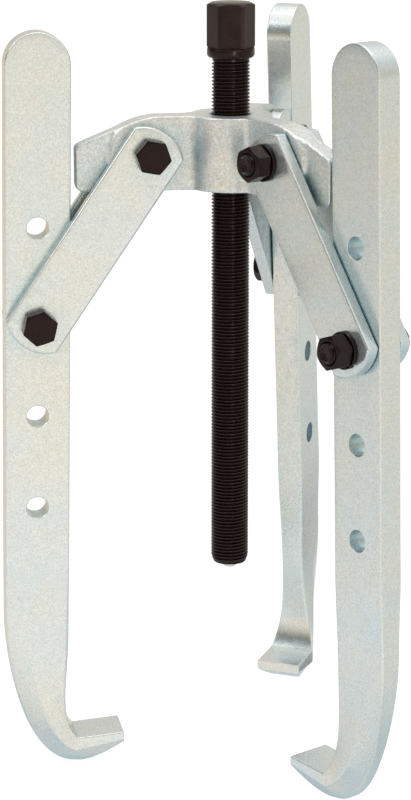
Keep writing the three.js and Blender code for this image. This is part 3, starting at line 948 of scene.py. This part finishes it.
def bolt(jaw, place):
    """One skin from the chamfered end of the thread, up the shank and over the hexagonal head."""
    name = f"{place}_bolt_{jaw.name}"
    matrix = jaw.bolts[place]
    turn = corner_turn(name, matrix, (0, 2), lambda p: p.y > HEAD_FACE)
    end = -NUT_FACE - BOLT_PROUD
    start = -WASHER_FACE

    def limit(y):
        return lerp(BOLT_CORE, BOLT_RADIUS, min(1, (y - end) / BOLT_CHAMFER))

    def round_rings(profile):
        return [circle(r, y, COLUMNS, "y", turn) for r, y in profile]

    bm = bmesh.new()
    low, high = thread(bm, BOLT_RADIUS, BOLT_PITCH, end, start, limit, turn, "y")
    shank = [(BOLT_RADIUS, start + 0.6), (BOLT_RADIUS, HEAD_FACE - 0.6), (BOLT_RADIUS + 0.2, HEAD_FACE)]
    top = HEAD_FACE + BOLT_HEAD
    head = hexagon_rings(WRENCH_SIZE, HEAD_FACE, top, turn, BOLT_SEAT, BOLT_DISC, "y")
    dish = [(BOLT_DISC - inset, top - depth) for inset, depth in BOLT_DISH]
    facing = [(r, end + depth) for r, depth in BOLT_FACING]
    skin(bm, [high] + round_rings(shank) + head + round_rings(dish), cap_start=False)
    skin(bm, round_rings(facing) + [low], cap_end=False)
    body = "link_pair_" + jaw.name
    return finish_mesh(name.replace("_bolt_", "_hex_bolt_"), bm, matrix, body, name, BLACK, 35)


def nut(jaw, place):
    name = f"{place}_nut_{jaw.name}"
    matrix = jaw.bolts[place]
    turn = corner_turn(name, matrix, (0, 2))
    low, high = -NUT_FACE, NUT_HEIGHT - NUT_FACE
    rings = hexagon_rings(WRENCH_SIZE, low, high, turn, BOLT_DISC, BOLT_DISC, "y")
    hole = BOLT_RADIUS + NUT_CLEARANCE
    bore = ((hole + NUT_SINK, high), (hole, high - NUT_SINK), (hole, low + NUT_SINK), (hole + NUT_SINK, low))
    rings += [circle(r, y, COLUMNS, "y", turn) for r, y in bore]
    bm = bmesh.new()
    skin(bm, rings + [rings[0]], cap_start=False, cap_end=False)
    body = "link_pair_" + jaw.name
    return finish_mesh(name.replace("_nut_", "_hex_nut_"), bm, matrix, body, name, BLACK, 35)


def lock_washer(jaw, place):
    """Spring washer: a square wire bent into a ring, cut at a slant and sprung slightly open."""
    name = f"{place}_lock_washer_{jaw.name}"
    matrix = jaw.bolts[place]
    turn = corner_turn(name.replace("lock_washer", "nut"), matrix, (0, 2)) + WASHER_TURN
    middle = -WASHER_FACE + WASHER_THICKNESS / 2
    half = WASHER_THICKNESS / 2 - WASHER_SPRING
    section = []
    corners = [(HOLE_RADIUS, -half), (WASHER_RADIUS, -half), (WASHER_RADIUS, half), (HOLE_RADIUS, half)]
    for i in range(4):
        section += round_corner(corners[i - 1], corners[i], corners[(i + 1) % 4], WASHER_EDGE, 2)
    rings = []
    for i in range(WASHER_STEPS + 1):
        t = i / WASHER_STEPS
        ring = []
        for p in section:
            slant = WASHER_SLANT * p.y / (2 * half)
            angle = turn + lerp(WASHER_SPLIT / 2, 2 * math.pi - WASHER_SPLIT / 2, t) + slant
            height = middle + p.y + lerp(-WASHER_SPRING, WASHER_SPRING, t)
            ring.append((p.x * math.cos(angle), height, p.x * math.sin(angle)))
        rings.append(ring)
    bm = bmesh.new()
    skin(bm, rings)
    body = "link_pair_" + jaw.name
    return finish_mesh(name.replace("lock_washer", "spring_washer"), bm, matrix, body, name, BLACK, 35)


# ---------------------------------------------------------------- spindle and ball

def spindle():
    """One skin from the ball socket, over the rounded end and up the thread, neck, collar and hexagon."""
    turn = corner_turn("spindle", trunk, (0, 1), lambda p: p.z > HEX_BOTTOM + 2)
    thread_top = COLLAR_BOTTOM - NECK_LENGTH

    def limit(z):
        rise = min(1, (z - SPINDLE_END) / SPINDLE_END_TAPER)
        bottom = lerp(SPINDLE_END_RADIUS, SPINDLE_RADIUS, math.sin(rise * math.pi / 2))
        top = lerp(NECK_RADIUS, SPINDLE_RADIUS, min(1, (thread_top - z) / NECK_EASE))
        return min(bottom, top)

    bm = bmesh.new()
    low, high = thread(bm, SPINDLE_RADIUS, SPINDLE_PITCH, SPINDLE_END, thread_top, limit, turn)
    neck = ((NECK_RADIUS, thread_top + 0.5), (NECK_RADIUS, COLLAR_BOTTOM),
            (COLLAR_RADIUS - COLLAR_CHAMFER, COLLAR_BOTTOM), (COLLAR_RADIUS - 0.9, COLLAR_BOTTOM + 0.3),
            (COLLAR_RADIUS - 0.25, COLLAR_BOTTOM + COLLAR_CHAMFER - 0.4),
            (COLLAR_RADIUS, COLLAR_BOTTOM + COLLAR_CHAMFER + 0.2), (COLLAR_RADIUS, HEX_BOTTOM - 0.6),
            (COLLAR_RADIUS - 0.2, HEX_BOTTOM - 0.15), (COLLAR_RADIUS - 0.6, HEX_BOTTOM))
    head = hexagon_rings(SPINDLE_HEX, HEX_BOTTOM, HEX_TOP, turn, SPINDLE_SEAT, SPINDLE_DISC)
    skin(bm, [high] + [circle(r, z, COLUMNS, "z", turn) for r, z in neck] + head, cap_start=False)
    socket = BALL_RADIUS + SOCKET_CLEARANCE
    lip = math.sqrt(BALL_RADIUS ** 2 - (BALL_HEIGHT - SPINDLE_END) ** 2) + 0.15
    mouth = ((0.8, BALL_HEIGHT + BALL_RADIUS + 1.2), (socket, BALL_HEIGHT + BALL_RADIUS),
             (socket, SPINDLE_END + 1.2), (lip, SPINDLE_END + 0.2), (lip + 0.4, SPINDLE_END),
             (SPINDLE_END_RADIUS - 1.2, SPINDLE_END))
    skin(bm, [circle(r, z, COLUMNS, "z", turn) for r, z in mouth] + [low], cap_end=False)
    return finish_mesh("forcing_screw", bm, trunk, "spindle", "spindle", BLACK, 35, False)


def pressure_ball():
    """Ball with the small flat that it wears where it turns against a shaft."""
    rings = []
    for i in range(1, BALL_RINGS):
        angle = math.pi * i / BALL_RINGS
        height = max(BALL_RADIUS * math.cos(angle), BALL_FLAT - BALL_RADIUS)
        rings.append(circle(BALL_RADIUS * math.sin(angle), height, BALL_STEPS))
    lifted = [[(x, y, z + BALL_HEIGHT) for x, y, z in ring] for ring in rings]
    bm = bmesh.new()
    skin(bm, lifted)
    return finish_mesh("thrust_ball", bm, trunk, "pressure_ball", "pressure_ball", STEEL, 60, False)


crosshead()
for jaw in jaws:
    for face, side in (("head_side", 1), ("nut_side", -1)):
        link(f"link_{face}_{jaw.name}", jaw, side)
    leg(jaw)
    for place in ("upper", "lower"):
        bolt(jaw, place)
        nut(jaw, place)
        lock_washer(jaw, place)
spindle()
pressure_ball()


# ---------------------------------------------------------------- studio

FOCUS = Vector((-0.0135, -0.0049, -0.2320))
EYE = Vector((0.4747, -1.3426, 0.1381))
LENS = 112.7
SENSOR = 36
FLOOR_HALF = 14
FLOOR_GAP = 0.0005  # the floor's distance below the object
FLOOR_GREY = 0.12
FLOOR_GLOW = 0.93

# Lights: place, width and height, power and colour
KEY_LIGHT = ((-1.5, -1.5, 1.4), (0.9, 1.2), 11, (1.0, 0.99, 0.97))
FILL_LIGHT = ((1.8, -1.2, 0.8), (0.8, 1.2), 3, (0.97, 0.99, 1.0))
TOP_LIGHT = ((0.1, 0.3, 1.9), (1.2, 1.2), 4.5, (1.0, 1.0, 1.0))
GLINT_LIGHT = ((1.15, -1.55, -0.15), (0.07, 1.2), 9, (1.0, 0.90, 0.88))

# Studio walls: sine of the height above the horizon, and the colour there
WALLS = (
    (-1.00, (0.84, 0.83, 0.81)),
    (-0.84, (0.70, 0.76, 0.78)),
    (-0.66, (0.56, 0.67, 0.75)),
    (-0.48, (0.72, 0.82, 0.88)),
    (-0.34, (0.88, 0.87, 0.86)),
    (-0.10, (0.87, 0.82, 0.75)),
    (0.15, (0.66, 0.63, 0.57)),
    (0.38, (0.80, 0.77, 0.71)),
    (0.60, (0.76, 0.84, 0.86)),
    (0.78, (1.28, 1.24, 1.21)),
    (1.00, (1.40, 1.37, 1.34)),
)
WALL_MINIMUM = 0.02

# Brighter and darker patches on the walls: direction, how narrow, and the change in red, green and blue
PATCHES = (
    ((0.62, -0.74, -0.28), 5, (0.36, 0.32, 0.25)),
    ((0.60, -0.66, 0.45), 14, (-0.50, -0.48, -0.46)),
    ((-0.95, -0.17, 0.22), 11, (-0.94, -0.80, -0.62)),
    ((-0.95, -0.17, -0.26), 12, (0.34, 0.25, 0.12)),
    ((-0.95, -0.17, -0.60), 9, (-0.06, 0.01, 0.09)),
    ((-0.33, -0.91, -0.34), 10, (0.32, 0.20, 0.08)),
    ((-0.36, -0.84, 0.38), 14, (-0.72, -0.68, -0.64)),
    ((0.29, 0.90, -0.46), 120, (-1.40, -1.40, -1.34)),
    ((0.33, 0.90, -0.12), 14, (-0.04, 0.0, -0.02)),
    ((0.95, 0.17, -0.25), 8, (0.03, 0.03, -0.02)),
    ((-0.62, 0.74, -0.25), 10, (0.0, -0.14, -0.26)),
)


def camera():
    data = bpy.data.cameras.new("camera")
    data.lens = LENS
    data.sensor_width = SENSOR
    data.clip_end = 50
    obj = bpy.data.objects.new("camera", data)
    obj.location = EYE
    obj.rotation_euler = (FOCUS - EYE).to_track_quat("-Z", "Y").to_euler()
    bpy.context.scene.collection.objects.link(obj)
    bpy.context.scene.camera = obj


def soft_light(name, place, size, power, colour):
    """Rectangular light aimed at the middle of the object."""
    data = bpy.data.lights.new(name, "AREA")
    data.shape = "RECTANGLE"
    data.size, data.size_y = size
    data.energy = power
    data.color = colour
    obj = bpy.data.objects.new(name, data)
    obj.location = Vector(place)
    obj.rotation_euler = (FOCUS - obj.location).to_track_quat("-Z", "Y").to_euler()
    bpy.context.scene.collection.objects.link(obj)
    return obj


def see_through(material):
    """Hides a surface from every ray but the camera's, so that it is seen and isn't reflected."""
    tree = material.node_tree
    output = tree.nodes["Material Output"]
    seen = output.inputs["Surface"].links[0].from_socket
    path = add_node(tree, "ShaderNodeLightPath", {})
    clear = add_node(tree, "ShaderNodeBsdfTransparent", {})
    inputs = {0: path.outputs["Is Camera Ray"], 1: clear.outputs[0], 2: seen}
    choice = add_node(tree, "ShaderNodeMixShader", inputs)
    set_inputs(output, {"Surface": choice.outputs[0]})


def floor(height):
    bm = bmesh.new()
    bmesh.ops.create_grid(bm, x_segments=8, y_segments=8, size=FLOOR_HALF)
    mesh = bpy.data.meshes.new("floor")
    bm.to_mesh(mesh)
    bm.free()
    material = bpy.data.materials.new("pale_floor")
    material.use_nodes = True
    set_inputs(material.node_tree.nodes["Principled BSDF"], {
        "Base Color": (FLOOR_GREY, FLOOR_GREY, FLOOR_GREY, 1),
        "Roughness": 0.9,
        "Emission Color": (1, 1, 1, 1),
        "Emission Strength": FLOOR_GLOW,
    })
    see_through(material)
    mesh.materials.append(material)
    obj = bpy.data.objects.new("floor", mesh)
    obj.location.z = height
    bpy.context.scene.collection.objects.link(obj)


def studio_walls():
    """Pale studio all round: light table below, duller band at the horizon, soft light overhead, and patches.

    The object reflects it, and the camera sees plain white in its place."""
    world = bpy.data.worlds.new("studio")
    world.use_nodes = True
    tree = world.node_tree
    direction = add_node(tree, "ShaderNodeTexCoord", {}).outputs["Generated"]
    total = wall_colours(tree, direction)
    for centre, narrow, change in PATCHES:
        pair = {0: direction, 1: Vector(centre).normalized()}
        near = add_node(tree, "ShaderNodeVectorMath", pair, operation="DOT_PRODUCT").outputs["Value"]
        near = add_node(tree, "ShaderNodeMath", {0: near, 1: 0}, operation="MAXIMUM").outputs[0]
        near = add_node(tree, "ShaderNodeMath", {0: near, 1: narrow}, operation="POWER").outputs[0]
        parts = {0: near, 1: change, 2: total}
        total = add_node(tree, "ShaderNodeVectorMath", parts, operation="MULTIPLY_ADD").outputs[0]
    floored = {0: total, 1: (WALL_MINIMUM, WALL_MINIMUM, WALL_MINIMUM)}
    total = add_node(tree, "ShaderNodeVectorMath", floored, operation="MAXIMUM").outputs[0]
    path = add_node(tree, "ShaderNodeLightPath", {})
    choice = {0: path.outputs["Is Camera Ray"], 6: total, 7: (1, 1, 1, 1)}
    colour = add_node(tree, "ShaderNodeMix", choice, data_type="RGBA").outputs[2]
    set_inputs(tree.nodes["Background"], {"Color": colour})
    bpy.context.scene.world = world


def wall_colours(tree, direction):
    """Colour of the walls by height, as a ramp whose colours are halved so that they stay below 1."""
    height = add_node(tree, "ShaderNodeSeparateXYZ", {0: direction}).outputs["Z"]
    place = add_node(tree, "ShaderNodeMapRange", {"Value": height, "From Min": -1}).outputs[0]
    stops = [((sine + 1) / 2, [c / 2 for c in colour]) for sine, colour in WALLS]
    halved = add_ramp(tree, place, stops, "EASE")
    return add_node(tree, "ShaderNodeVectorMath", {0: halved, "Scale": 2}, operation="SCALE").outputs[0]


def glint():
    """Tall narrow light to the right of the camera that only the forcing screw catches."""
    strip = soft_light("glint", *GLINT_LIGHT)
    lit = bpy.data.collections.new("lit_by_glint")
    lit.objects.link(bpy.data.objects["forcing_screw"])
    strip.light_linking.receiver_collection = lit


camera()
floor(cad_box[0].z - FLOOR_GAP)
studio_walls()
glint()
soft_light("key", *KEY_LIGHT)
soft_light("fill", *FILL_LIGHT)
soft_light("top", *TOP_LIGHT)
bpy.context.scene.view_settings.view_transform = "Standard"
